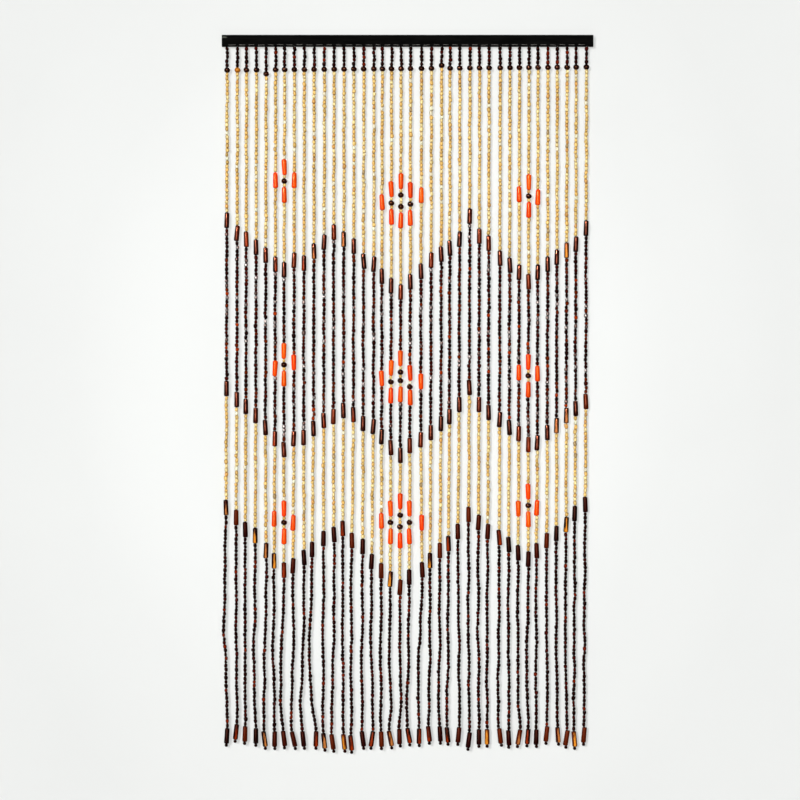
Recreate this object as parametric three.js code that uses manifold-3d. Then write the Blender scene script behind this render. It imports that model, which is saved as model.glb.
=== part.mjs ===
// Bead curtain on its head lath, hanging as it would in a doorway.
// Millimetres, +Z up, front towards -Y, left and right as seen from the front.
// The origin is the centre of the lath's back face, where it lies against a lintel.

import * as THREE from "three";
import { mergeVertices } from "three/addons/utils/BufferGeometryUtils.js";
import Module from "manifold-3d";

// Head lath
const lathLength = 900;
const lathHeight = 28;
const lathDepth = 12;
const lathEdgeRadius = 2;
const lathEdgeSteps = 3;
const grooveWidth = 3.6; // runs along the underside and holds the carrier line
const grooveDepth = 2.6;
const fitGap = 0.3;

// Carrier line: the line from which all the strings drop, lying in the groove
const carrierEndInset = 6;
const knotRadius = 1.2;

// Holes for the strings
const firstHoleInset = 12.7;
const lastHoleInset = 16.3;
const stringPlane = -6.8; // the strings hang here, so the fattest bead clears the wall
const hangBow = 1.6; // how far some strings swing forward at the foot

// Beads, each as long as the pitch at which it threads
const seed = { pitch: 9.7, radius: 4.3 };
const darkSeed = { pitch: 9.7, radius: 3.7 };
const petalSeed = { pitch: 7.5, radius: 4.3 }; // sits partly in the mouths of its neighbours
const brownTube = { length: 39, radius: 5.7 };
const orangeTube = { length: 39, radius: 6.2 };
const roundBead = { length: 13, radius: 6.5 };
const stopBead = { length: 7, radius: 3.1 };
const shoulder = 2; // rounded end of a tube or a lone bead
const runShoulder = 0.5; // the same on a run of small beads
const darkSeedsUnderLath = 5;

// Longest stretch of a string with no change of direction, above and in the tails
const upperStep = 420;
const tailStep = 68;
const tailDrop = 1200; // where the tails begin

// Threading chart, one row a string from left to right. drift is the hole's distance from an even
// pitch in mm. pale1, dark1, pale2 and dark2 are the runs of small beads above each brown tube, and
// petal1, petal2 and petal3 those above the first orange bead of the first three runs. All are in
// mean bead lengths: the beads vary, so a run is seldom a whole number of these. flower says which
// of the patterns below is threaded there, and darkFlower where the second run has another one.
const chartColumns = [
  "drift", "pale1", "dark1", "pale2", "dark2", "flower", "petal1", "petal2", "petal3", "darkFlower",
];
const chartRows = [
  [0, 35, 38, 25.75, 53],
  [1.5, 38.25, 37.5, 25.5, 49.5],
  [0, 39.75, 37.75, 26.75, 47],
  [0.5, 41.75, 38, 26, 46],
  [0.5, 43.75, 39, 26.75, 43],
  [0, 42, 35.5, 22.5, 40.5, "side", 25, 22, 16],
  [-2, 38, 31.5, 16.75, 38, "middle", 21.75, 16.25, 10.75],
  [-1.5, 41, 36.5, 23.75, 39.25, "side", 25, 21.5, 17],
  [-1, 45.75, 39.5, 26, 41.25],
  [-1, 42.75, 40.25, 26.25, 43.25],
  [0.5, 40.5, 40.5, 25.5, 46.5],
  [0.5, 38, 42, 25.5, 47.75],
  [1, 39.75, 38.75, 25.5, 49.25],
  [1.5, 41.5, 38, 27.5, 46.5],
  [2, 45.25, 36.5, 26.75, 44],
  [3, 46, 36.5, 29.75, 40.25],
  [-0.5, 45, 32, 25.5, 38, "side", 30.5, 21.5, 17],
  [-1.5, 42, 27, 19.5, 35.75, "middle", 27.25, 16.5, 11.25],
  [-2, 42.25, 26, 18.25, 33.25, "heart", 25.25, 12.5, 7.5, "tightHeart"],
  [-2.5, 41, 27.5, 19.5, 35.5, "middle", 27.5, 18.75, 11.75, "tightMiddle"],
  [0.5, 43.75, 34, 24.5, 37.5, "side", 28.75, 23.5, 16.75],
  [1, 45, 39, 28, 39.25],
  [2, 43.5, 38.25, 27.75, 41.75],
  [-1, 42, 38, 27.75, 43.75],
  [-1, 39.75, 37.25, 27.75, 46.75],
  [0, 34, 38.75, 27.75, 52.25],
  [0, 39, 38, 25.5, 49.5],
  [-0.5, 40.75, 38.25, 25.75, 47.25],
  [3, 44.5, 36.25, 25.5, 45.5],
  [3, 46.25, 36.5, 25.25, 44.25],
  [2.5, 44, 32.25, 21.75, 42, "side", 28.5, 21, 14.75],
  [2, 41, 27.25, 15.25, 40.25, "middle", 25.5, 16, 7.75],
  [0.5, 44, 34.5, 19, 42.5, "side", 29.25, 21.25, 12.25],
  [1, 46, 38, 23, 44.25],
  [0, 44.25, 38, 23, 46.25],
  [0, 42.5, 37.25, 23.25, 49.25],
  [-1.5, 41, 37, 22.25, 52.25],
  [0, 37, 39.25, 21.75, 53.5],
];

// How each string wanders sideways from its hole, in mm, one row a string: at the three drops below
// it, at the top of its last tube, and how far that tube's foot is off its top
const hangDrops = { waist: 950, low: 1340, tail: 1460, ankle: 1585 };
const commonLean = -2; // of every string at the waist
const hangColumns = ["low", "tail", "ankle", "heel", "tilt"];
const hangRows = [
  [-5, -11, -7, 1, -3],
  [-4, -3, -7, -1, -5],
  [-4, -3, 0, -3, -2],
  [-4, -6, -5, -1, -1],
  [0, -4, -5, -6, 4],
  [-5, -6, -4, -3, 1],
  [-2, -8, -10, -3, 3],
  [-4, -2, -8, -7, 9],
  [-1, -3, -9, -6, 6],
  [-7, -12, -6, 5, -1],
  [-3, -3, -4, -3, 4],
  [0, -2, -5, -7, 6],
  [-4, -3, 0, -2, 4],
  [-7, -7, -6, -8, 2],
  [-4, -5, -5, -5, 4],
  [-7, -7, -4, -2, -6],
  [-3, -4, -4, -3, 1],
  [-4, -6, -1, -7, 7],
  [-3, -3, 0, -6, 4],
  [-4, -5, -9, -8, 6],
  [1, -7, -8, -6, 0],
  [-4, -4, -6, -8, 3],
  [-5, -5, -8, -5, 2],
  [-5, -5, -7, -8, 3],
  [-6, -1, -1, -1, -4],
  [-5, -3, -1, -1, -4],
  [-4, -4, -4, -1, -1],
  [-5, -5, -5, -5, 0],
  [-3, -4, -6, -4, 7],
  [-4, -4, -2, -4, 1],
  [-4, -4, -3, 2, -7],
  [-2, -6, -4, -2, -3],
  [-5, -5, -5, -5, 1],
  [-4, -3, -2, -3, -2],
  [-3, -3, -5, 0, 3],
  [-3, -6, -7, 0, -3],
  [-5, -4, -7, -6, 2],
  [-5, -6, -8, -6, -1],
];

// Rows of a table as records with its columns' names
function named(rows, columns) {
  return rows.map((row) => Object.fromEntries(columns.map((name, i) => [name, row[i]])));
}

const chart = named(chartRows, chartColumns);
const hangs = named(hangRows, hangColumns);
const underside = -lathHeight / 2;
const wasm = await Module();
wasm.setup();

// A closed solid of a geometry, with its seam points merged and its empty triangles dropped
function solidOf(geometry) {
  const plain = geometry.clone();
  plain.deleteAttribute("normal");
  plain.deleteAttribute("uv");
  const merged = mergeVertices(plain, 1e-4);
  const index = merged.index.array;
  const kept = [];
  for (let i = 0; i < index.length; i += 3) {
    const [a, b, c] = index.slice(i, i + 3);
    if (a !== b && b !== c && c !== a) kept.push(a, b, c);
  }
  const vertProperties = new Float32Array(merged.attributes.position.array);
  return new wasm.Manifold(new wasm.Mesh({ numProp: 3, vertProperties, triVerts: new Uint32Array(kept) }));
}

function geometryOf(solid) {
  const mesh = solid.getMesh();
  const geometry = new THREE.BufferGeometry();
  geometry.setAttribute("position", new THREE.BufferAttribute(mesh.vertProperties, 3));
  geometry.setIndex(new THREE.BufferAttribute(mesh.triVerts, 1));
  geometry.computeVertexNormals();
  return geometry;
}

// Section of the lath across its length, y to the front and z up, with the groove in its underside
function lathSection() {
  const front = -lathDepth;
  const top = lathHeight / 2;
  const r = lathEdgeRadius;
  const section = new THREE.Shape();
  section.moveTo(stringPlane + grooveWidth / 2, underside);
  section.lineTo(-r, underside);
  section.absarc(-r, underside + r, r, -Math.PI / 2, 0, false);
  section.lineTo(0, top - r);
  section.absarc(-r, top - r, r, 0, Math.PI / 2, false);
  section.lineTo(front + r, top);
  section.absarc(front + r, top - r, r, Math.PI / 2, Math.PI, false);
  section.lineTo(front, underside + r);
  section.absarc(front + r, underside + r, r, Math.PI, Math.PI * 1.5, false);
  section.lineTo(stringPlane - grooveWidth / 2, underside);
  section.lineTo(stringPlane - grooveWidth / 2, underside + grooveDepth);
  section.lineTo(stringPlane + grooveWidth / 2, underside + grooveDepth);
  return section;
}

// A section drawn in y and z, run along x and centred on x = 0
function alongX(section, length, curveSegments) {
  const geometry = new THREE.ExtrudeGeometry(section, { depth: length, bevelEnabled: false, curveSegments });
  const across = new THREE.Vector3(0, 1, 0);
  const upward = new THREE.Vector3(0, 0, 1);
  const along = new THREE.Vector3(1, 0, 0);
  const turn = new THREE.Matrix4().makeBasis(across, upward, along);
  return geometry.applyMatrix4(turn).translate(-length / 2, 0, 0);
}

function carrierSection() {
  const half = grooveWidth / 2 - fitGap;
  const section = new THREE.Shape();
  section.moveTo(stringPlane - half, underside);
  section.lineTo(stringPlane + half, underside);
  section.lineTo(stringPlane + half, underside + grooveDepth - fitGap);
  section.lineTo(stringPlane - half, underside + grooveDepth - fitGap);
  section.closePath();
  return section;
}

// What is threaded where a flower crosses a string
const flowerPatterns = {
  side: [orangeTube],
  middle: [orangeTube, petalSeed, roundBead, petalSeed, orangeTube],
  tightMiddle: [orangeTube, petalSeed, roundBead, orangeTube],
  heart: [orangeTube, petalSeed, roundBead, petalSeed, petalSeed, roundBead, petalSeed, orangeTube],
  tightHeart: [orangeTube, petalSeed, roundBead, petalSeed, roundBead, petalSeed, orangeTube],
};

// As many small beads as suit a length, spread evenly over it
function runOf(bead, length) {
  const count = Math.round(length / bead.pitch);
  return { bead: { ...bead, pitch: length / count }, count };
}

// A run of small beads, parted by the flower where the string has one. The flower's own small beads
// count towards the run, and the beads below it take up what is left.
function threadRun(bead, lengths, flower, before) {
  if (!flower) return [runOf(bead, lengths * bead.pitch)];
  const pattern = flowerPatterns[flower];
  const petalSeeds = pattern.filter((threaded) => threaded === petalSeed).length;
  const below = (lengths - before) * bead.pitch - petalSeeds * petalSeed.pitch;
  const inside = pattern.map((threaded) => ({ bead: threaded, count: 1 }));
  return [runOf(bead, before * bead.pitch), ...inside, runOf(bead, below)];
}

// All that is threaded on one string, from the lath down
function threading(row) {
  const { flower, darkFlower = flower } = row;
  return [
    { bead: darkSeed, count: darkSeedsUnderLath },
    { bead: roundBead, count: 1 },
    ...threadRun(seed, row.pale1, flower, row.petal1),
    { bead: brownTube, count: 1 },
    ...threadRun(darkSeed, row.dark1, darkFlower, row.petal2),
    { bead: brownTube, count: 1 },
    ...threadRun(seed, row.pale2, flower, row.petal3),
    { bead: brownTube, count: 1 },
    runOf(darkSeed, row.dark2 * darkSeed.pitch),
    { bead: brownTube, count: 1 },
    { bead: stopBead, count: 1 },
  ];
}

// Half outline of a string, as points of radius and drop: the outer width of what is threaded
function outline(row) {
  const points = [new THREE.Vector2(0, -grooveDepth / 2), new THREE.Vector2(knotRadius, -grooveDepth / 2)];
  points.push(new THREE.Vector2(knotRadius, fitGap));
  let drop = fitGap;
  for (const { bead, count } of threading(row)) {
    const length = (bead.pitch ?? bead.length) * count;
    if (bead === roundBead) {
      points.push(new THREE.Vector2(bead.radius, drop + length / 2));
    } else {
      const end = bead.pitch && count > 1 ? runShoulder : shoulder;
      const straight = length - 2 * end;
      const spans = Math.ceil(straight / (drop > tailDrop ? tailStep : upperStep));
      for (let i = 0; i <= spans; i++) {
        points.push(new THREE.Vector2(bead.radius, drop + end + (straight * i) / spans));
      }
    }
    drop += length;
  }
  points.push(new THREE.Vector2(0, drop));
  return points;
}

// Smooth curve through the stations of drop and sideways place
function wanderAt(drop, stations) {
  const last = stations.length - 1;
  if (drop <= stations[0].drop) return stations[0].x;
  if (drop >= stations[last].drop) return stations[last].x;
  const i = stations.findIndex((station) => station.drop > drop) - 1;
  const slope = (k) => {
    const a = stations[Math.max(0, k - 1)];
    const b = stations[Math.min(last, k + 1)];
    return (b.x - a.x) / (b.drop - a.drop);
  };
  const [from, to] = [stations[i], stations[i + 1]];
  const span = to.drop - from.drop;
  const t = (drop - from.drop) / span;
  const start = slope(i) * span;
  const finish = slope(i + 1) * span;
  const a = 2 * from.x - 2 * to.x + start + finish;
  const b = 3 * to.x - 3 * from.x - 2 * start - finish;
  return ((a * t + b) * t + start) * t + from.x;
}

// One string: its outline turned with four sides, then hung along its own line
function beadString(number) {
  const row = chart[number];
  const hang = hangs[number];
  const points = outline(row);
  const toeDrop = points[points.length - 1].y - stopBead.length;
  const heelDrop = toeDrop - brownTube.length;
  const stations = [
    { drop: 0, x: 0 },
    { drop: hangDrops.waist, x: commonLean },
    { drop: hangDrops.low, x: hang.low },
    { drop: hangDrops.tail, x: hang.tail },
    { drop: hangDrops.ankle, x: hang.ankle },
    { drop: heelDrop, x: hang.heel },
    { drop: toeDrop, x: hang.heel + hang.tilt },
  ];
  const geometry = new THREE.LatheGeometry(points, 4);
  const pitch = (lathLength - firstHoleInset - lastHoleInset) / (chart.length - 1);
  const hole = -lathLength / 2 + firstHoleInset + pitch * number + row.drift;
  const swing = (hangBow * (1 - Math.cos(number * number))) / 2;
  const position = geometry.attributes.position;
  for (let i = 0; i < position.count; i++) {
    const drop = position.getY(i);
    const forward = swing * Math.max(0, drop / toeDrop) ** 2;
    const x = hole + wanderAt(drop, stations) + position.getX(i);
    position.setXYZ(i, x, stringPlane - forward + position.getZ(i), underside - drop);
  }
  return geometry;
}

function beadStrings() {
  const line = alongX(carrierSection(), lathLength - 2 * carrierEndInset, 1);
  let fused = solidOf(line);
  for (let number = 0; number < chart.length; number++) {
    fused = fused.add(solidOf(beadString(number)));
  }
  return geometryOf(fused);
}

function piece(name, geometry, color, roughness) {
  const mesh = new THREE.Mesh(geometry, new THREE.MeshStandardMaterial({ color, roughness, metalness: 0 }));
  mesh.name = name;
  return mesh;
}

const beadCurtain = new THREE.Group();
beadCurtain.add(
  piece("head_lath", geometryOf(solidOf(alongX(lathSection(), lathLength, lathEdgeSteps))), 0x14110f, 0.45),
  piece("bead_strings", beadStrings(), 0xb8863c, 0.5),
);

export default beadCurtain;
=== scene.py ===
import math
import random

import bmesh
import bpy
import numpy as np
from mathutils import Matrix, Vector


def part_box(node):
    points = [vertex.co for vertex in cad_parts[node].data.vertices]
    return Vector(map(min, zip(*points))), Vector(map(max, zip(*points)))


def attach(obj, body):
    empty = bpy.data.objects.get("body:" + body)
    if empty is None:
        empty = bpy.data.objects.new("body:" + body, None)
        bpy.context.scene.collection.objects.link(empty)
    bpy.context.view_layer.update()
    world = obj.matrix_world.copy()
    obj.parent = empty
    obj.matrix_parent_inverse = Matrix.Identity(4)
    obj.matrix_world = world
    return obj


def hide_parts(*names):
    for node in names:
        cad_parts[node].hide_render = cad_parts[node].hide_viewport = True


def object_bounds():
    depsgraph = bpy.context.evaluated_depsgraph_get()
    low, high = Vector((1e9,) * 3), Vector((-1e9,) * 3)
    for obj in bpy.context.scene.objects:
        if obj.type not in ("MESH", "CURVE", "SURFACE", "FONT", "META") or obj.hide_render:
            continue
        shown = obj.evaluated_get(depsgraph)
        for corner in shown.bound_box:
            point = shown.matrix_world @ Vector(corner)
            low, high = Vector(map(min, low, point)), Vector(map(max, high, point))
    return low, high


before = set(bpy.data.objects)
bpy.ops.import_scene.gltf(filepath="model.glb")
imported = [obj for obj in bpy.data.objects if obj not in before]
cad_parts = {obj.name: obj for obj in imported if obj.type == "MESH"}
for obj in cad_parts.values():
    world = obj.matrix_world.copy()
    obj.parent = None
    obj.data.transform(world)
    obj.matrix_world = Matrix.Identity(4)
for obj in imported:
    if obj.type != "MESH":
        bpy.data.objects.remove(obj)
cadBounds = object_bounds()
mm = 0.001
draw = random.Random(38)  # every random choice below is drawn from here, one after the other
print("frame loaded:", sorted(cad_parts))


# Small helpers for modelling

def makeActive(obj):
    bpy.ops.object.select_all(action="DESELECT")
    obj.select_set(True)
    bpy.context.view_layer.objects.active = obj


def settleObject(obj):
    # puts an object's place, turn and size in its mesh
    makeActive(obj)
    bpy.ops.object.transform_apply(location=True, rotation=True, scale=True)


def startEdit(kind):
    bpy.ops.object.mode_set(mode="EDIT")
    bpy.ops.mesh.select_mode(type=kind)


def endEdit():
    bpy.ops.object.mode_set(mode="OBJECT")


def clearedShape(obj):
    # the mesh that is being edited, with nothing of it selected
    shape = bmesh.from_edit_mesh(obj.data)
    for part in (shape.verts, shape.edges, shape.faces):
        for item in part:
            item.select = False
    return shape


def pickVerts(obj, test):
    # in edit mode: select only the vertices whose place passes the test
    shape = clearedShape(obj)
    for vert in shape.verts:
        vert.select = test(vert.co)
    shape.select_flush(True)
    bmesh.update_edit_mesh(obj.data)


def pickFaces(obj, test):
    shape = clearedShape(obj)
    for face in shape.faces:
        if test(face):
            face.select_set(True)
    bmesh.update_edit_mesh(obj.data)


# Materials: sockets as numbers, so that shader maths reads as sums

class Sock:
    def __init__(self, finish, socket):
        self.finish = finish
        self.socket = socket

    def sum(self, operation, first, second):
        return self.finish.node("ShaderNodeMath", {"operation": operation}, [first, second])

    def __add__(self, other):
        return self.sum("ADD", self, other)

    def __radd__(self, other):
        return self.sum("ADD", other, self)

    def __sub__(self, other):
        return self.sum("SUBTRACT", self, other)

    def __rsub__(self, other):
        return self.sum("SUBTRACT", other, self)

    def __mul__(self, other):
        return self.sum("MULTIPLY", self, other)

    def __rmul__(self, other):
        return self.sum("MULTIPLY", other, self)

    def __pow__(self, other):
        return self.sum("POWER", self, other)


class Finish:
    def __init__(self, name):
        self.material = bpy.data.materials.new(name)
        self.material.use_nodes = True
        self.tree = self.material.node_tree
        self.shader = self.tree.nodes["Principled BSDF"]

    def node(self, kind, settings, inputs, output=0):
        made = self.tree.nodes.new(kind)
        for name, value in settings.items():
            if name == "stops":
                ramp = made.color_ramp
                while len(ramp.elements) < len(value):
                    ramp.elements.new(0.5)
                for element, (place, colour) in zip(ramp.elements, value):
                    element.position = place
                    element.color = (*colour, 1)
            else:
                setattr(made, name, value)
        pairs = inputs.items() if isinstance(inputs, dict) else enumerate(inputs)
        for key, value in pairs:
            self.feed(made.inputs[key], value)
        return Sock(self, made.outputs[output])

    def feed(self, socket, value):
        if isinstance(value, Sock):
            self.tree.links.new(value.socket, socket)
        elif value is not None:
            bare = socket.type == "RGBA" and len(value) == 3  # a colour without its alpha
            socket.default_value = (*value, 1) if bare else value

    def set(self, **values):
        for name, value in values.items():
            self.feed(self.shader.inputs[name.replace("_", " ")], value)

    def place(self):
        return self.node("ShaderNodeTexCoord", {}, {}, "Object")

    def stretched(self, vector, scale):
        return self.node("ShaderNodeMapping", {}, {"Vector": vector, "Scale": scale})

    def distance(self, first, second):
        return self.node("ShaderNodeVectorMath", {"operation": "DISTANCE"}, [first, second], "Value")

    def noise(self, vector, scale, detail=3, roughness=0.5):
        inputs = {"Vector": vector, "Scale": scale, "Detail": detail, "Roughness": roughness}
        return self.node("ShaderNodeTexNoise", {}, inputs, "Fac")

    def ramp(self, value, stops):
        return self.node("ShaderNodeValToRGB", {"stops": stops}, [value])

    def share(self, value, start, end):
        # black up to the start and white from the end
        return self.ramp(value, [(start, (0, 0, 0)), (end, (1, 1, 1))])

    def mix(self, factor, first, second, blend="MIX"):
        settings = {"data_type": "RGBA", "blend_type": blend}
        return self.node("ShaderNodeMix", settings, {0: factor, 6: first, 7: second}, 2)

    def attribute(self, name, output="Color"):
        return self.node("ShaderNodeAttribute", {"attribute_name": name}, {}, output)

    def bump(self, height, strength, distance):
        inputs = {"Height": height, "Strength": strength, "Distance": distance}
        return self.node("ShaderNodeBump", {}, inputs, "Normal")


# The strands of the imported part: where each string hangs and what is threaded where

strand = {  # half the strand's width at each kind of bead, and the beads' lengths
    "pale": 4.3 * mm, "dark": 3.7 * mm, "brown": 5.7 * mm, "orange": 6.2 * mm, "round": 6.5 * mm,
    "stop": 3.1 * mm, "tubeLength": 39 * mm, "roundLength": 13 * mm, "stopLength": 7 * mm,
    "smallLength": 9.7 * mm,
}
strandKinds = ("pale", "dark", "brown", "orange", "round", "stop")
threadedLength = {
    "brown": strand["tubeLength"], "orange": strand["tubeLength"],
    "round": strand["roundLength"], "stop": strand["stopLength"],
}
reading = {
    "weld": 0.002 * mm,
    "root": 0.2 * mm,  # a strand's root reaches this far out of the lath's groove
    "slack": 0.1 * mm,  # by which a half width may miss its kind
    "firstGap": 0.3 * mm,  # from the lath to the first bead
}
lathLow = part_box("head_lath")[0]  # the low corner of its box: left, front and foot


def linkedVerts(start):
    group, front, seen = [start], [start], {start}
    while front:
        vert = front.pop()
        for edge in vert.link_edges:
            other = edge.other_vert(vert)
            if other not in seen:
                seen.add(other)
                group.append(other)
                front.append(other)
    return group


def pathOf(group):
    # each level ring of a strand as its middle, its height and half its width, from the top down
    rings = {}
    for vert in group:
        rings.setdefault(round(vert.co.z, 5), []).append(vert.co)
    path = []
    for z in sorted(rings, reverse=True):
        ring = np.array(rings[z])
        path.append((*ring.mean(0)[:2], z, np.ptp(ring[:, 0]) / 2))
    return path


def readStrands():
    # the strands of the node apart from their roots, from left to right
    shape = bmesh.new()
    shape.from_mesh(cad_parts["bead_strings"].data)
    bmesh.ops.remove_doubles(shape, verts=shape.verts, dist=reading["weld"])
    roots = [v for v in shape.verts if v.co.z > lathLow.z - reading["root"]]
    bmesh.ops.delete(shape, geom=roots, context="VERTS")
    seen = set()
    paths = []
    for start in shape.verts:
        if start not in seen:
            group = linkedVerts(start)
            seen.update(group)
            paths.append(pathOf(group))
    shape.free()
    return sorted(paths, key=lambda path: path[0][0])


def kindOf(radius):
    best = min(strandKinds, key=lambda kind: abs(strand[kind] - radius))
    return best if abs(strand[best] - radius) < reading["slack"] else None


def threadingOf(path):
    # the big beads first, each about its own rings; the runs of small beads fill what is between
    groups = []
    for x, y, z, radius in path:
        kind = kindOf(radius)
        if kind and groups and groups[-1][0] == kind:
            groups[-1][2] = z
        elif kind:
            groups.append([kind, z, z])
    parts = []
    for kind, top, foot in groups:
        if kind in threadedLength:
            middle = (top + foot) / 2
            half = threadedLength[kind] / 2
            parts.append([kind, middle + half, middle - half])
        else:
            parts.append([kind, None, None])
    parts[0][1] = lathLow.z - reading["firstGap"]
    for before, after in zip(parts, parts[1:]):
        if after[1] is None:
            after[1] = before[2]
        if before[2] is None:
            before[2] = after[1]
    return parts


strands = readStrands()
threadings = [threadingOf(path) for path in strands]
print("strands read:", len(strands), "with", sum(len(t) for t in threadings), "runs and beads")


# Copies of one modelled bead, joined into a single mesh with its colours

class BeadHeap:
    def __init__(self, name):
        self.name = name
        self.verts = []
        self.faces = []
        self.tints = []
        self.veins = []
        self.alongs = []
        self.sides = []
        self.count = 0

    def add(self, bead, matrix, tint, vein, glint, lot):
        verts = bead["verts"] @ np.array(matrix.to_3x3()).T + np.array(matrix.translation)
        self.faces.extend([[self.count + i for i in face] for face in bead["faces"]])
        self.count += len(verts)
        self.verts.append(verts)
        self.tints.append(np.tile([*tint, lot], (len(verts), 1)))
        self.veins.append(np.tile([*vein, glint], (len(verts), 1)))
        self.alongs.append(bead["along"])
        self.sides.append(bead["side"])

    def build(self, material, slot):
        mesh = bpy.data.meshes.new(self.name)
        mesh.from_pydata(np.concatenate(self.verts), [], self.faces)
        for name, values in (("tint", self.tints), ("vein", self.veins)):
            layer = mesh.color_attributes.new(name, "FLOAT_COLOR", "POINT")
            layer.data.foreach_set("color", np.concatenate(values).astype(np.float32).ravel())
        for name, values in (("along", self.alongs), ("side", self.sides)):
            layer = mesh.attributes.new(name, "FLOAT", "POINT")
            layer.data.foreach_set("value", np.concatenate(values).astype(np.float32))
        mesh.polygons.foreach_set("use_smooth", [True] * len(mesh.polygons))
        mesh.materials.append(material)
        obj = bpy.data.objects.new(self.name, mesh)
        bpy.context.scene.collection.objects.link(obj)
        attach(obj, "root")
        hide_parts("bead_strings")
        print(self.name, "has", sum(len(f) - 2 for f in self.faces), "triangles")


def takeBead(obj, length=1, width=1):
    # keeps a modelled bead as arrays and clears the model away; "along" runs from 0 at its foot
    # to 1 at its top, and "side" from -1 at its back to 1 at its front
    mesh = obj.data
    verts = np.zeros(len(mesh.vertices) * 3)
    mesh.vertices.foreach_get("co", verts)
    verts = verts.reshape(-1, 3)
    bead = {
        "verts": verts,
        "faces": [list(p.vertices) for p in mesh.polygons],
        "along": verts[:, 2] / length + 0.5,
        "side": -2 * verts[:, 1] / width,
    }
    bpy.data.objects.remove(obj)
    return bead


# Small beads, one unit long and about one unit wide

smallBead = {
    "sides": 8,
    "hole": 0.44,  # height of the poles, pushed in under the rims
    "rim": 0.45,  # rings further out than this keep their width
    "aside": 10,  # shaped rings wait this much higher than the others
    "sameHeight": 1e-3,
}


def modelSmallBead(name, rings, lean, squash):
    # the rings give each height and its width, from the foot up; lean pushes the belly sideways
    bpy.ops.object.select_all(action="DESELECT")
    bpy.ops.mesh.primitive_uv_sphere_add(
        segments=smallBead["sides"], ring_count=len(rings) + 1, radius=0.5, location=(0, 0, 0))
    obj = bpy.context.object
    obj.name = name
    heights = sorted({round(v.co.z, 4) for v in obj.data.vertices})
    near = smallBead["sameHeight"]
    widths = {}
    for z in heights:
        ring = [v.co for v in obj.data.vertices if abs(v.co.z - z) < near]
        widths[z] = max(math.hypot(co.x, co.y) for co in ring)
    startEdit("VERT")
    aside = smallBead["aside"]
    moves = [(heights[0], None), *zip(heights[1:-1], rings), (heights[-1], None)]
    for z, ring in moves:
        pickVerts(obj, lambda co, z=z: abs(co.z - z) < near)
        if ring is None:
            pole = math.copysign(smallBead["hole"], z)
            bpy.ops.transform.translate(value=(0, 0, pole - z + aside))
        else:
            height, width = ring
            scale = width / 2 / widths[z]
            bpy.ops.transform.resize(value=(scale, scale * squash, 1), center_override=(0, 0, z))
            shift = lean * (1 - 4 * height ** 2)
            bpy.ops.transform.translate(value=(shift, 0, height - z + aside))
    bpy.ops.mesh.select_all(action="SELECT")
    bpy.ops.transform.translate(value=(0, 0, -aside))
    endEdit()
    return takeBead(obj)


def bentRings(rings, skew, plump):
    # the same bead with its belly a little off the middle, and fuller or leaner
    rim = smallBead["rim"]
    return [(h, w * (1 + skew * h) * (1 if abs(h) > rim else plump)) for h, w in rings]


paleRings = [(-0.50, 0.64), (-0.40, 0.86), (-0.14, 1.0), (0.14, 1.0), (0.40, 0.86), (0.50, 0.64)]
darkRings = [(-0.50, 0.60), (-0.38, 0.80), (-0.15, 1.0), (0.15, 1.0), (0.38, 0.80), (0.50, 0.60)]
smallShapes = {
    "pale": [
        modelSmallBead("paleBeadA", bentRings(paleRings, 0.0, 1.0), 0.0, 1.0),
        modelSmallBead("paleBeadB", bentRings(paleRings, 0.25, 1.03), 0.05, 0.93),
        modelSmallBead("paleBeadC", bentRings(paleRings, -0.2, 0.95), -0.04, 0.96),
    ],
    "dark": [
        modelSmallBead("darkBeadA", bentRings(darkRings, 0.0, 1.0), 0.0, 1.0),
        modelSmallBead("darkBeadB", bentRings(darkRings, 0.3, 1.05), 0.06, 0.92),
        modelSmallBead("darkBeadC", bentRings(darkRings, -0.25, 0.94), -0.05, 0.95),
    ],
}
print("small beads modelled")


# Tubes, round beads and stop beads, at their real size

tubeBead = {
    "sides": 14,
    "hole": 0.12,  # depth, as part of the width
    "rimSteps": 3,
    "endFacing": 0.9,  # a face turned up or down by more than this is the tube's end
    "rimFacing": 0.98,
}
tubeForms = {  # width and length against the strand's; ends, rounding and lip as parts of the width
    "brown": {"kind": "brown", "wide": 2.16, "long": 0.985,
              "top": 0.92, "foot": 1.0, "edge": 0.26, "lip": 0.06},
    "orangeUp": {"kind": "orange", "wide": 2, "long": 1,
                 "top": 1.05, "foot": 0.88, "edge": 0.33, "lip": 0.04},
    "orangeDown": {"kind": "orange", "wide": 2, "long": 1,
                   "top": 0.88, "foot": 1.05, "edge": 0.33, "lip": 0.04},
}
ballForms = {
    "round": {"wide": 2.28, "long": 1.08, "sides": 14, "rings": 9},
    "stop": {"wide": 2.7, "long": 1.2, "sides": 10, "rings": 7},
}
ballPole = {"from": 0.499, "dimple": 0.09}  # as parts of the height


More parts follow.
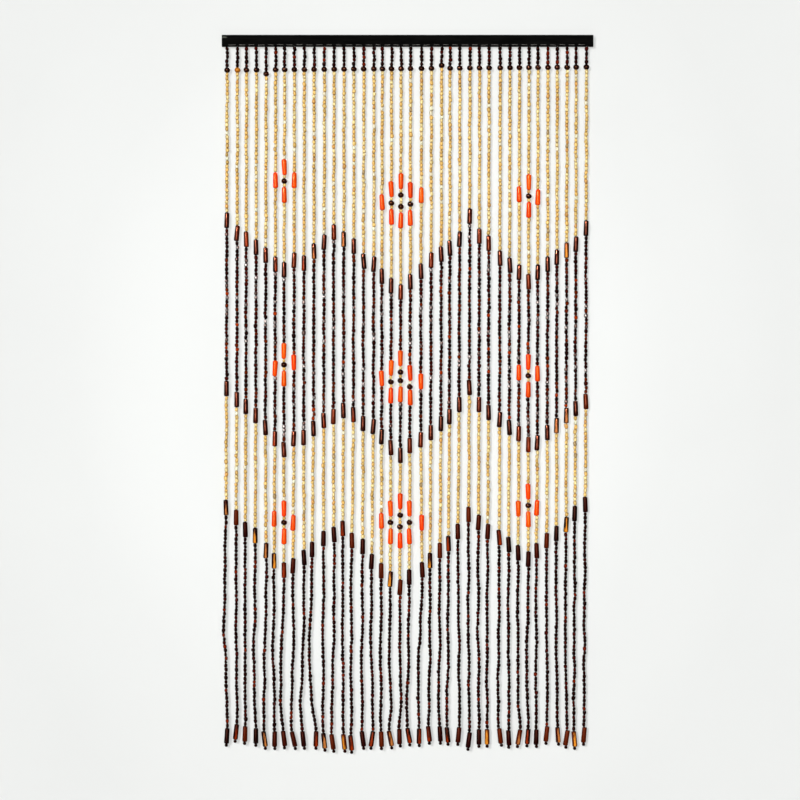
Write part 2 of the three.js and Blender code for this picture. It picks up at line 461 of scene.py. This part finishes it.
def roundedTube(form):
    # tapered, with rounded rims and a dimpled hole at each end
    length = strand["tubeLength"] * form["long"]
    width = strand[form["kind"]] * form["wide"]
    bpy.ops.object.select_all(action="DESELECT")
    bpy.ops.mesh.primitive_cylinder_add(
        vertices=tubeBead["sides"], radius=width / 2, depth=length, end_fill_type="NGON",
        location=(0, 0, 0))
    obj = bpy.context.object
    startEdit("FACE")
    for end, part in ((1, form["top"]), (-1, form["foot"])):
        pickFaces(obj, lambda face, end=end: face.normal.z * end > tubeBead["endFacing"])
        bpy.ops.transform.resize(value=(part, part, 1), center_override=(0, 0, end * length / 2))
    pickFaces(obj, lambda face: abs(face.normal.z) > tubeBead["endFacing"])
    bpy.ops.mesh.bevel(offset=width * form["edge"], offset_type="OFFSET",
                       segments=tubeBead["rimSteps"], profile=0.5, affect="EDGES")
    for end in (1, -1):
        pickFaces(obj, lambda face, end=end: face.normal.z * end > tubeBead["rimFacing"])
        bpy.ops.mesh.inset(thickness=width * form["lip"])
        bpy.ops.transform.translate(value=(0, 0, -end * width * tubeBead["hole"]))
    endEdit()
    return takeBead(obj, length, width)


def roundBall(kind, form):
    # a ball with a dimple at each pole
    length = strand[kind + "Length"] * form["long"]
    width = strand[kind] * form["wide"]
    bpy.ops.object.select_all(action="DESELECT")
    bpy.ops.mesh.primitive_uv_sphere_add(
        segments=form["sides"], ring_count=form["rings"], radius=width / 2, location=(0, 0, 0))
    obj = bpy.context.object
    startEdit("VERT")
    bpy.ops.mesh.select_all(action="SELECT")
    bpy.ops.transform.resize(value=(1, 1, length / width), center_override=(0, 0, 0))
    for end in (1, -1):
        pickVerts(obj, lambda co, end=end: co.z * end > length * ballPole["from"])
        bpy.ops.transform.translate(value=(0, 0, -end * length * ballPole["dimple"]))
    endEdit()
    return takeBead(obj, length, width)


bigShapes = {name: roundedTube(form) for name, form in tubeForms.items()}
bigShapes.update({kind: roundBall(kind, form) for kind, form in ballForms.items()})
print("big beads modelled")


# Colours of the beads, each with how often it comes

palettes = {
    "pale": [
        ((0.90, 0.62, 0.20), 34), ((0.84, 0.52, 0.14), 26), ((0.96, 0.76, 0.34), 24),
        ((0.70, 0.45, 0.12), 7), ((0.76, 0.40, 0.10), 4), ((0.50, 0.35, 0.15), 1),
        ((1.0, 0.92, 0.66), 4),
    ],
    "dark": [
        ((0.010, 0.001, 0.001), 26), ((0.003, 0.001, 0.001), 36), ((0.055, 0.002, 0.001), 18),
        ((0.20, 0.014, 0.001), 6), ((0.002, 0.001, 0.001), 14),
    ],
    "lit": [
        ((0.012, 0.001, 0.001), 24), ((0.060, 0.003, 0.001), 24), ((0.17, 0.018, 0.001), 14),
        ((0.003, 0.001, 0.001), 24), ((0.34, 0.20, 0.17), 4), ((0.58, 0.42, 0.38), 4),
        ((0.85, 0.70, 0.66), 5), ((0.50, 0.045, 0.001), 2),
    ],
    "brown": [
        ((0.014, 0.001, 0.001), 40), ((0.036, 0.003, 0.001), 26), ((0.080, 0.008, 0.001), 14),
        ((0.006, 0.001, 0.001), 20),
    ],
    "red": [((0.26, 0.022, 0.002), 1)],
    "tan": [((0.50, 0.17, 0.04), 1)],
    "gold": [((0.72, 0.25, 0.02), 1)],
    "orange": [((1.0, 0.064, 0.0003), 50), ((1.0, 0.046, 0.0003), 30), ((1.0, 0.088, 0.001), 20)],
    "round": [((0.006, 0.001, 0.001), 60), ((0.016, 0.003, 0.002), 40)],
    "stop": [((0.003, 0.001, 0.001), 70), ((0.012, 0.001, 0.001), 30)],
}
tintSpread = (0.88, 1.12)
veinDepth = {  # how much of the tint is left in the veins
    "pale": 0.62, "dark": 0.35, "lit": 0.3, "brown": 0.6, "orange": 0.8, "round": 0.5, "stop": 0.4,
}
veinSpread = (0.8, 1.15)
glintFrom = 0.12  # a dark bead whose tint has more green is a pale one with a mirror-like lacquer
rareTubes = {  # strings, counted from the left, whose tube in a row is lighter than the others
    1: {"red": (3, 6, 9), "tan": (10, 13), "gold": (36,)},
    2: {"red": (6, 11, 14, 32), "tan": (35, 36)},
    3: {"gold": (4, 6, 18, 22, 36), "red": (7, 13, 24, 29), "tan": (1, 5)},
    4: {"red": (2, 10, 14, 16, 20, 21, 22, 24, 32), "gold": (13, 28, 37),
        "tan": (5, 11, 18, 31, 35)},
}


def pickTint(kind):
    colours, weights = zip(*palettes[kind])
    base = draw.choices(colours, weights)[0]
    lift = draw.uniform(*tintSpread)
    return [min(1, channel * lift) for channel in base]


def veined(tint, kind):
    depth = veinDepth[kind] * draw.uniform(*veinSpread)
    return [channel * min(1, depth) for channel in tint]


def tubeLook(row, string):
    return next((look for look, strings in rareTubes[row].items() if string in strings), "brown")


# Threading

threadingLoose = {
    "length": 0.11,  # spread of the small beads' lengths
    "lengthLimits": (0.7, 1.32),
    "width": 0.05,
    "widthByLength": 0.15,  # how much of its width a bead takes from its length
    "belly": {"pale": 0.98, "dark": 1.2},  # a bead's middle against the mean width of its strand
    "tailSlim": 0.96,
    "fill": 0.99,  # how much of its place a small bead takes
    "shift": 0.35 * mm,
    "bigShift": 0.2 * mm,
    "tilt": 6,  # degrees, like the next two
    "tubeTilt": 2.0,
    "streakTurn": 28,  # how far the lighter streak may turn from the front
    "sway": {"dark_beads_tail": 1.6 * mm},  # how far a long loose run waves about its strand
    "swayElsewhere": 0.7 * mm,
    "swayLength": (90 * mm, 240 * mm),
}
firstRound = {
    "rise": {5: -9.7 * mm, 23: 7 * mm},  # strings whose first round bead hangs lower or higher
    "slope": (-1.5 * mm, 6 * mm),  # these beads rise a little from left to right
    "light": 2,  # the string whose first round bead is orange-brown
}
smallHeaps = {  # heap and palette for each run, by how many brown tubes hang above it
    "dark": (("dark_beads_top", "dark"), ("dark_beads_middle", "lit"),
             ("dark_beads_middle", "lit"), ("dark_beads_tail", "dark")),
    "pale": (("pale_beads_upper", "pale"), ("pale_beads_upper", "pale"),
             ("pale_beads_lower", "pale"), ("pale_beads_lower", "pale")),
}
bigHeaps = {
    "brown": "brown_tubes", "orange": "orange_tubes", "round": "round_beads", "stop": "stop_beads",
}
heapDress = {  # each heap's finish and material slot
    "dark_beads_top": ("dark", "dark_bead"), "pale_beads_upper": ("pale", "pale_bead"),
    "dark_beads_middle": ("dark", "dark_bead"), "pale_beads_lower": ("pale", "pale_bead"),
    "dark_beads_tail": ("dark", "dark_bead"), "brown_tubes": ("brown", "brown_bead"),
    "brown_tubes_lower": ("dull", "brown_bead"), "orange_tubes": ("orange", "orange_bead"),
    "round_beads": ("round", "round_bead"), "stop_beads": ("dark", "dark_bead"),
}
heaps = {name: BeadHeap(name) for name in heapDress}


def pathAt(path, z):
    heights = [-p[2] for p in path]
    return Vector((np.interp(-z, heights, [p[0] for p in path]),
                   np.interp(-z, heights, [p[1] for p in path]), z))


def swayOf(top, foot, reach):
    # a gentle wave of the string within a run, still at both of its ends
    waves = [(draw.uniform(*threadingLoose["swayLength"]), draw.uniform(0, 2 * math.pi))
             for _ in range(2)]

    def sway(z):
        fade = math.sin(math.pi * min(1, max(0, (top - z) / (top - foot)))) ** 0.5
        wave = sum(math.sin(2 * math.pi * z / length + phase) for length, phase in waves) / 2
        return Vector((reach * fade * wave, 0, 0))
    return sway


def noSway(z):
    return Vector((0, 0, 0))


def beadMatrix(path, top, foot, tilt, shift, sway=noSway, turned=180):
    # a bead's place between two heights of its string, a little loose on the line
    high, low = pathAt(path, top) + sway(top), pathAt(path, foot) + sway(foot)
    middle = (high + low) / 2 + Vector((draw.gauss(0, shift), draw.gauss(0, shift / 2), 0))
    turn = Vector((0, 0, 1)).rotation_difference(high - low).to_matrix()
    lean = Matrix.Rotation(math.radians(draw.gauss(0, tilt)), 3, "Y")
    pitch = Matrix.Rotation(math.radians(draw.gauss(0, tilt / 2)), 3, "X")
    roll = Matrix.Rotation(math.radians(draw.uniform(-turned, turned)), 3, "Z")
    return Matrix.Translation(middle) @ (turn @ lean @ pitch @ roll).to_4x4()


def threadRun(path, kind, top, foot, heap, palette):
    loose = threadingLoose
    count = max(1, round((top - foot) / strand["smallLength"]))
    least, most = loose["lengthLimits"]
    lengths = [max(least, min(most, draw.gauss(1, loose["length"]))) for _ in range(count)]
    unit = (top - foot) / sum(lengths)
    sway = swayOf(top, foot, loose["sway"].get(heap, loose["swayElsewhere"]))
    slim = loose["tailSlim"] if heap == "dark_beads_tail" else 1
    belly = strand[kind] * 2 * loose["belly"][kind] * slim
    z = top
    for part in lengths:
        length = part * unit
        stretch = 1 + loose["widthByLength"] * (part - 1)
        width = belly * draw.gauss(1, loose["width"]) * stretch
        place = beadMatrix(path, z, z - length, loose["tilt"], loose["shift"], sway)
        size = Matrix.Diagonal((width, width, length * loose["fill"], 1))
        tint = pickTint(palette)
        glint = 1 if kind == "dark" and tint[1] > glintFrom else 0
        vein = veined(tint, palette)
        shape = draw.choice(smallShapes[kind])
        heaps[heap].add(shape, place @ size, tint, vein, glint, draw.random())
        z -= length


def threadBig(path, kind, top, foot, look, form, heap):
    loose = threadingLoose
    tilt = loose["tubeTilt"] if kind in ("brown", "orange") else loose["tilt"]
    streaked = kind == "brown" and look != "brown"  # dark, with a lighter streak turned to the front
    turned = loose["streakTurn"] if streaked else 180
    place = beadMatrix(path, top, foot, tilt, loose["bigShift"], turned=turned)
    tint = pickTint(kind if streaked else look)
    vein = pickTint(look) if streaked else veined(tint, kind)
    heaps[heap].add(bigShapes[form], place, tint, vein, 0, draw.random())


def orangeForm(kinds, i):
    # the wide end points away from the middle of the flower
    if "round" in kinds[i + 1:i + 3]:
        return "orangeUp"
    if "round" in kinds[max(0, i - 2):i]:
        return "orangeDown"
    return draw.choice(("orangeUp", "orangeDown"))


def moveFirstRound(number, parts):
    # moves the first round bead, and with it the ends of the runs on both of its sides
    rise = firstRound["rise"].get(number, 0)
    rise += np.interp(number, (1, len(strands)), firstRound["slope"])
    above, ball, below = parts[:3]
    above[2] += rise
    ball[1] += rise
    ball[2] += rise
    below[1] += rise


def threadString(number, path, parts):
    moveFirstRound(number, parts)
    tubesAbove = 0
    kinds = [kind for kind, top, foot in parts]
    for i, (kind, top, foot) in enumerate(parts):
        if kind not in threadedLength:
            threadRun(path, kind, top, foot, *smallHeaps[kind][tubesAbove])
            continue
        tubesAbove += kind == "brown"
        look = tubeLook(tubesAbove, number) if kind == "brown" else kind
        if i == 1 and number == firstRound["light"]:
            look = "gold"
        form = orangeForm(kinds, i) if kind == "orange" else kind
        lower = kind == "brown" and tubesAbove > 2  # the lower two rows are duller
        heap = "brown_tubes_lower" if lower else bigHeaps[kind]
        threadBig(path, kind, top, foot, look, form, heap)


for number, (path, parts) in enumerate(zip(strands, threadings), 1):
    threadString(number, path, parts)
print("threading done:", sum(len(heap.verts) for heap in heaps.values()), "beads")


# Finishes of the beads

beadGrain = {
    "detail": 4,
    "roughness": 0.6,
    "veins": (0.40, 0.62),  # grain at which the vein colour starts and is full
    "streakFrom": 0.78,  # how squarely to the front the lighter streak starts
    "streakByLot": 0.1,
    "streakByGrain": 0.7,
    "streakByHeight": 0.16,  # wider towards the foot
    "streakEdge": 0.16,
    "bump": 0.12,
    "bumpDepth": 0.2 * mm,
}


def beadFinish(name, look):
    # lacquered wood in the bead's own two colours, streaked along the string, darker at its ends:
    # partly the wood's own darker ends, partly painted shade where the beads meet
    grain = beadGrain
    finish = Finish(name)
    tint = finish.attribute("tint")
    vein = finish.attribute("vein")
    lot = finish.attribute("tint", "Alpha")
    along = finish.attribute("along", "Fac")
    stretched = finish.stretched(finish.place(), (1, 1, look["stretch"]))
    streak = finish.noise(stretched, look["grain"], grain["detail"], grain["roughness"])
    if look["sided"]:
        side = finish.attribute("side", "Fac")
        waver = (streak - 0.5) * grain["streakByGrain"] + (0.5 - along) * grain["streakByHeight"]
        reach = side - grain["streakFrom"] - grain["streakByLot"] * lot + waver
        patch = finish.share(reach, 0, grain["streakEdge"])
    else:
        patch = finish.share(streak, *grain["veins"])
    body = finish.mix(patch, tint, vein)
    # the darker ends are painted shade where neighbouring beads meet, and partly also the beads' own
    # darker ends
    ends = (4 * (along - 0.5) * (along - 0.5)) ** look["endReach"]
    shaded = finish.mix(1.0, body, look["endTintAndShade"], "MULTIPLY")
    rough, smooth = look["roughness"]
    finish.set(
        Base_Color=finish.mix(ends * look["endDepth"], body, shaded),
        Metallic=finish.attribute("vein", "Alpha"),
        Roughness=rough - (rough - smooth) * lot ** look["shineShare"],
        IOR=look["density"],
        Specular_IOR_Level=look["gloss"],
        Specular_Tint=look["glossTint"],
        Normal=finish.bump(streak, grain["bump"], grain["bumpDepth"]),
    )
    return finish.material


looks = {
    "pale": {"stretch": 0.6, "grain": 420, "sided": False, "endReach": 1.3, "endDepth": 0.85,
             "endTintAndShade": (0.50, 0.33, 0.11), "roughness": (0.55, 0.35), "shineShare": 1,
             "gloss": 0.4, "density": 1.5, "glossTint": (1, 0.92, 0.75)},
    "dark": {"stretch": 0.5, "grain": 500, "sided": False, "endReach": 1.1, "endDepth": 0.97,
             "endTintAndShade": (0.03, 0.03, 0.03), "roughness": (0.42, 0.25), "shineShare": 2,
             "gloss": 0.17, "density": 1.5, "glossTint": (1, 0.20, 0.12)},
    "brown": {"stretch": 0.12, "grain": 420, "sided": True, "endReach": 6.0, "endDepth": 0.95,
              "endTintAndShade": (0.08, 0.06, 0.06), "roughness": (0.26, 0.12), "shineShare": 1,
              "gloss": 0.8, "density": 1.6, "glossTint": (1, 0.27, 0.14)},
    "dull": {"stretch": 0.12, "grain": 420, "sided": True, "endReach": 6.0, "endDepth": 0.95,
             "endTintAndShade": (0.08, 0.06, 0.06), "roughness": (0.3, 0.2), "shineShare": 1,
             "gloss": 0.2, "density": 1.5, "glossTint": (1, 0.30, 0.16)},
    "orange": {"stretch": 0.2, "grain": 200, "sided": False, "endReach": 9.0, "endDepth": 0.7,
               "endTintAndShade": (0.85, 0.35, 0.3), "roughness": (0.30, 0.20), "shineShare": 1,
               "gloss": 0.7, "density": 1.5, "glossTint": (1, 0.50, 0.18)},
    "round": {"stretch": 1.0, "grain": 300, "sided": False, "endReach": 2.0, "endDepth": 0.6,
              "endTintAndShade": (0.2, 0.2, 0.2), "roughness": (0.17, 0.09), "shineShare": 1,
              "gloss": 0.75, "density": 1.6, "glossTint": (1, 0.36, 0.20)},
}
finishNames = {
    "pale": "lacquered straw bead", "dark": "lacquered dark bead",
    "brown": "lacquered brown tube", "dull": "dull brown tube",
    "orange": "lacquered orange tube", "round": "lacquered round bead",
}
materials = {kind: beadFinish(finishNames[kind], look) for kind, look in looks.items()}
for name, heap in heaps.items():
    look, slot = heapDress[name]
    heap.build(materials[look], slot)
print("beads built")


# Head lath: the frame's own bar, with black paint over fine grain, worn at the left corner

lath = {
    "paint": (0.0008, 0.0008, 0.0008),
    "grain": (0.0042, 0.0040, 0.0036),
    "fine": {"along": 0.05, "scale": 600, "detail": 6, "roughness": 0.7},
    "broad": {"along": 0.15, "scale": 90, "detail": 4, "roughness": 0.6},
    "fineShare": 0.6,
    "grainEdge": (0.42, 0.62),
    "roughness": 0.5,
    "roughByGrain": 0.25,
    "gloss": 0.01,
    "bump": 0.35,
    "bumpDepth": 0.3 * mm,
    "worn": (0.075, 0.08, 0.065),
    "wornPlace": (-444 * mm, -12 * mm, 8 * mm),
    "wornStretch": (0.6, 1, 1.6),
    "wornScale": 100,  # for each metre away from the worn place
    "wornByGrain": 1.2,
    "wornEdge": (0.75, 1.0),
}


def lathGrain(finish, spot, grain):
    # noise drawn out along the bar
    stretched = finish.stretched(spot, (grain["along"], 1, 1))
    return finish.noise(stretched, grain["scale"], grain["detail"], grain["roughness"])


def lathFinish():
    finish = Finish("black painted wood")
    spot = finish.place()
    fine = lathGrain(finish, spot, lath["fine"])
    broad = lathGrain(finish, spot, lath["broad"])
    share = lath["fineShare"]
    streaks = finish.share(fine * share + broad * (1 - share), *lath["grainEdge"])
    paint = finish.mix(streaks, lath["paint"], lath["grain"])
    corner = [place * part for place, part in zip(lath["wornPlace"], lath["wornStretch"])]
    away = finish.distance(finish.stretched(spot, lath["wornStretch"]), corner)
    full, none = lath["wornEdge"]
    rub = finish.ramp(away * lath["wornScale"] + fine * lath["wornByGrain"],
                      [(full, (1, 1, 1)), (none, (0, 0, 0))])
    finish.set(
        Base_Color=finish.mix(rub, paint, lath["worn"]),
        Roughness=lath["roughness"] + lath["roughByGrain"] * fine,
        Specular_IOR_Level=lath["gloss"],
        Normal=finish.bump(fine, lath["bump"], lath["bumpDepth"]),
    )
    return finish.material


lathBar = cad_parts["head_lath"]
lathBar.data.materials.clear()
lathBar.data.materials.append(lathFinish())


# Nylon line: the stitches along the lath, the knots under it, and the thread in the strings

line = {
    "shade": (0.13, 0.125, 0.115),
    "light": (0.27, 0.26, 0.24),
    "toneEdge": (0.35, 0.65),
    "toneScale": 900,
    "roughness": 0.3,
    "gloss": 0.3,
    "thread": 0.5 * mm,  # radius
    "threadTop": 1.4 * mm,  # how far it goes up into the lath's groove
    "carrier": 1.2 * mm,
    "carrierTop": 1.5 * mm,
    "carrierPast": 6 * mm,  # beyond the first and last strings
    "carrierPoints": 40,
}
stitch = {
    "line": 0.38 * mm,  # radius
    "rise": 0.25 * mm,
    "height": -10.4 * mm,
    "heightSpread": 0.5 * mm,
    "slope": 0.6 * mm,
    "reach": 0.36,  # half of a stitch, as part of the space between two strings
    "reachSpread": (0.85, 1.1),
    "points": (-1, -0.85, -0.5, 0, 0.5, 0.85, 1),  # along the stitch, as parts of its reach
    "bend": 0.8,  # from here on it dips into the wood
    "dip": 1.2 * mm,
}
knot = {
    "size": 1.5 * mm,
    "sizeSpread": (0.8, 1.2),
    "every": 3,  # strings
    "behindFace": 1.5 * mm,
    "hang": 0.15,  # below the lath, as part of its size
    "lumps": 0.12,
    "seed": 3,
}


def lineFinish():
    finish = Finish("clear nylon line")
    start, end = line["toneEdge"]
    tone = finish.ramp(finish.noise(finish.place(), line["toneScale"]),
                       [(start, line["shade"]), (end, line["light"])])
    finish.set(Base_Color=tone, Roughness=line["roughness"], Specular_IOR_Level=line["gloss"])
    return finish.material


lineMaterial = lineFinish()


def sweptLine(points, radius, name):
    # a thin round line along the given points
    curve = bpy.data.curves.new(name, "CURVE")
    curve.dimensions = "3D"
    curve.bevel_depth = radius
    curve.bevel_resolution = 1
    curve.use_fill_caps = True
    spline = curve.splines.new("POLY")
    spline.points.add(len(points) - 1)
    for point, place in zip(spline.points, points):
        point.co = (*place, 1)
    obj = bpy.data.objects.new(name, curve)
    bpy.context.scene.collection.objects.link(obj)
    makeActive(obj)
    bpy.ops.object.convert(target="MESH")
    return bpy.context.object


def joinPieces(pieces, name, material):
    makeActive(pieces[0])
    for piece in pieces:
        piece.select_set(True)
    bpy.ops.object.join()
    obj = bpy.context.object
    obj.name = name
    obj.data.materials.clear()
    obj.data.materials.append(material)
    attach(obj, "root")
    print(name, "has", sum(len(p.vertices) - 2 for p in obj.data.polygons), "triangles")
    return obj


def stitchLath():
    # the line runs along the front face from string to string, just above the lower edge
    stitches = []
    for before, after in zip(strands, strands[1:]):
        middle = (before[0][0] + after[0][0]) / 2
        space = after[0][0] - before[0][0]
        reach = space * stitch["reach"] * draw.uniform(*stitch["reachSpread"])
        height = stitch["height"] + draw.uniform(-1, 1) * stitch["heightSpread"]
        slope = draw.uniform(-1, 1) * stitch["slope"]
        points = []
        for t in stitch["points"]:
            sunk = stitch["dip"] * max(0, abs(t) - stitch["bend"]) / (1 - stitch["bend"])
            y = lathLow.y - stitch["rise"] + sunk
            points.append((middle + reach * t, y, height + slope * t))
        stitches.append(sweptLine(points, stitch["line"], "stitch"))
    joinPieces(stitches, "lath_stitches", lineMaterial)


def knotStrings():
    knots = []
    for path in strands[1::knot["every"]]:
        size = knot["size"] * draw.uniform(*knot["sizeSpread"])
        place = (path[0][0], lathLow.y + knot["behindFace"], lathLow.z - size * knot["hang"])
        bpy.ops.object.select_all(action="DESELECT")
        bpy.ops.mesh.primitive_ico_sphere_add(subdivisions=2, radius=size / 2, location=place)
        lump = bpy.context.object
        settleObject(lump)
        startEdit("VERT")
        bpy.ops.mesh.select_all(action="SELECT")
        bpy.ops.transform.vertex_random(offset=size * knot["lumps"], seed=knot["seed"])
        endEdit()
        bpy.ops.object.shade_smooth()
        knots.append(lump)
    joinPieces(knots, "lath_knots", lineMaterial)


def threadLines():
    # the nylon line down the middle of each string, and the carrier that the strings hang from
    lines = []
    for path in strands:
        top = (path[0][0], path[0][1], lathLow.z + line["threadTop"])
        lines.append(sweptLine([top] + [p[:3] for p in path[:-1]], line["thread"], "thread"))
    left, right = strands[0][0], strands[-1][0]
    past = line["carrierPast"]
    carrier = [(x, left[1], lathLow.z + line["carrierTop"])
               for x in np.linspace(left[0] - past, right[0] + past, line["carrierPoints"])]
    lines.append(sweptLine(carrier, line["carrier"], "carrier"))
    piece = joinPieces(lines, "string_lines", lineMaterial)
    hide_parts("bead_strings")


stitchLath()
knotStrings()
threadLines()
print("lath dressed")


# Stage: floor, room, wall, lights and camera

stage = {
    "pixel": 2.424 * mm,  # on the curtain, in the photograph's frame
    "framePixels": 800,
    "aim": (-18.4 * mm, -6.5 * mm, -870.5 * mm),
    "lens": 100,
    "sensor": 36,
    "sky": (0.97, 0.98, 0.97),
    "skyStrength": 0.035,
}
floor = {
    "size": 14,
    "drop": 0.26,  # under the curtain's foot
    "mottleScale": 3,
    "mottleDetail": 2,
    "tones": [(0.3, (0.80, 0.80, 0.79)), (0.7, (0.84, 0.84, 0.83))],
    "roughness": 0.8,
}
room = {
    "sides": 96,
    "radius": 7,
    "height": 6,
    "step": 2 * mm,  # above the floor
    "lidFacing": 0.9,  # a face turned up by more than this is the lid, which is taken off
    "smoothAngle": 30,  # degrees
    "base": (0.02, 0.02, 0.02),
    "tones": ((0.0, (0.60, 0.61, 0.60)), (0.25, (0.76, 0.77, 0.76))),  # from the floor up
}
wall = {
    "width": 5,
    "height": 3.4,
    "gap": 0.8 * mm,  # behind the lath
    "lean": 0.08,  # degrees: the strings hang a little further from the wall at their feet
    "colour": (0.38, 0.385, 0.38),
    "roughness": 0.9,
    "mottle": 0.97,
    "mottleScale": 2,
    "mottleDetail": 2,
    "mottleEdge": (0.3, 0.7),
    "glow": (0.497, 0.505, 0.494),
    "glowStretch": (2, 1, 1.6),
    "glowMiddle": (-0.17, 0, -1.30),  # where it is brightest, in the stretched place
    "glowReach": 2,  # how far from there the fall below ends
    "glowFall": ((0.5, 0.955), (0.6, 0.92), (0.73, 0.85), (0.88, 0.82), (1.0, 0.785)),
}
lights = {  # the way it shines, its strength, its angle in degrees, and if it casts shadows
    "keyLight": ((0.44, 0.84, -0.30), 2.6, 6, True),
    "frontFill": ((-0.12, 1, -0.05), 1.4, 45, False),
    "frontShine": ((0.18, 0.98, 0), 1.2, 20, False),  # a tall window's glint on the lacquer
    "backLight": ((-0.2, -0.9, -0.4), 1.6, 30, False),
}
floorLevel = cadBounds[0].z - floor["drop"]


def stagePlane(name, width, height, place, turn):
    bpy.ops.object.select_all(action="DESELECT")
    bpy.ops.mesh.primitive_plane_add(size=1, location=(0, 0, 0))
    obj = bpy.context.object
    obj.name = name
    obj.scale = (width, height, 1)
    obj.rotation_euler = turn
    obj.location = place
    settleObject(obj)
    return obj


def makeFloor():
    obj = stagePlane("studioFloor", floor["size"], floor["size"], (0, 0, floorLevel), (0, 0, 0))
    paint = Finish("pale floor")
    mottle = paint.noise(paint.place(), floor["mottleScale"], floor["mottleDetail"])
    paint.set(Base_Color=paint.ramp(mottle, floor["tones"]), Roughness=floor["roughness"])
    obj.data.materials.append(paint.material)
    obj.visible_glossy = False


def hideFromLight(obj):
    obj.visible_diffuse = False
    obj.visible_glossy = False
    obj.visible_shadow = False


def makeRoom():
    # a pale round room, open above, that shows behind the curtain from its sides and back
    level = floorLevel + room["step"]
    bpy.ops.object.select_all(action="DESELECT")
    bpy.ops.mesh.primitive_cylinder_add(
        vertices=room["sides"], radius=room["radius"], depth=room["height"], end_fill_type="NGON",
        location=(0, 0, level + room["height"] / 2))
    obj = bpy.context.object
    obj.name = "studioRoom"
    settleObject(obj)
    startEdit("FACE")
    pickFaces(obj, lambda face: face.normal.z > room["lidFacing"])
    bpy.ops.mesh.delete(type="FACE")
    bpy.ops.mesh.select_all(action="SELECT")
    bpy.ops.mesh.flip_normals()
    endEdit()
    bpy.ops.object.shade_smooth_by_angle(angle=math.radians(room["smoothAngle"]))
    hideFromLight(obj)
    paper = Finish("pale room")
    height = paper.node("ShaderNodeSeparateXYZ", {}, [paper.place()], "Z")
    # the room takes no light and glows with this tone, darker towards the floor
    tone = paper.ramp((height - level) * (1 / room["height"]), room["tones"])
    paper.set(Base_Color=room["base"], Roughness=1, Specular_IOR_Level=0,
              Emission_Color=tone, Emission_Strength=1)
    obj.data.materials.append(paper.material)


def wallFinish():
    # lit by itself, brightest behind the curtain, and clear from behind
    paper = Finish("pale wall")
    spot = paper.place()
    mottled = [channel * wall["mottle"] for channel in wall["colour"]]
    mottle = paper.noise(spot, wall["mottleScale"], wall["mottleDetail"])
    start, end = wall["mottleEdge"]
    tone = paper.ramp(mottle, [(start, wall["colour"]), (end, mottled)])
    away = paper.distance(paper.stretched(spot, wall["glowStretch"]), wall["glowMiddle"])
    fall = [(part, [channel * dim for channel in wall["glow"]]) for part, dim in wall["glowFall"]]
    paper.set(Base_Color=tone, Roughness=wall["roughness"], Specular_IOR_Level=0,
              Emission_Color=paper.ramp(away * (1 / wall["glowReach"]), fall), Emission_Strength=1)
    back = paper.node("ShaderNodeNewGeometry", {}, {}, "Backfacing")
    clear = paper.node("ShaderNodeBsdfTransparent", {}, {})
    solid = Sock(paper, paper.shader.outputs[0])
    surface = paper.node("ShaderNodeMixShader", {}, [back, solid, clear])
    paper.feed(paper.tree.nodes["Material Output"].inputs["Surface"], surface)
    return paper.material


def makeWall():
    middle = floorLevel + wall["height"] / 2
    lean = math.radians(wall["lean"])
    place = (0, wall["gap"] - middle * math.tan(lean), middle)
    obj = stagePlane("studioWall", wall["width"], wall["height"], place,
                     (math.radians(90) + lean, 0, 0))
    hideFromLight(obj)
    obj.data.materials.append(wallFinish())


def addSun(name, towards, strength, angle, shadow):
    light = bpy.data.lights.new(name, "SUN")
    light.energy = strength
    light.angle = math.radians(angle)
    light.use_shadow = shadow
    obj = bpy.data.objects.new(name, light)
    obj.rotation_euler = Vector(towards).to_track_quat("-Z", "Y").to_euler()
    bpy.context.scene.collection.objects.link(obj)
    return obj


def makeLights():
    suns = {name: addSun(name, *settings) for name, settings in lights.items()}
    suns["frontFill"].visible_glossy = False
    suns["frontShine"].visible_diffuse = False
    world = bpy.data.worlds.new("studio")
    world.use_nodes = True
    sky = world.node_tree.nodes["Background"]
    sky.inputs["Color"].default_value = (*stage["sky"], 1)
    sky.inputs["Strength"].default_value = stage["skyStrength"]
    bpy.context.scene.world = world
    bpy.context.scene.view_settings.view_transform = "Standard"


def makeCamera():
    camera = bpy.data.cameras.new("photoCamera")
    camera.lens = stage["lens"]
    camera.sensor_width = stage["sensor"]
    obj = bpy.data.objects.new("photoCamera", camera)
    width = stage["pixel"] * stage["framePixels"]
    x, y, z = stage["aim"]
    obj.location = (x, y - width * stage["lens"] / stage["sensor"], z)
    obj.rotation_euler = (math.radians(90), 0, 0)
    bpy.context.scene.collection.objects.link(obj)
    bpy.context.scene.camera = obj


makeFloor()
makeRoom()
makeWall()
makeLights()
makeCamera()
print("stage set")
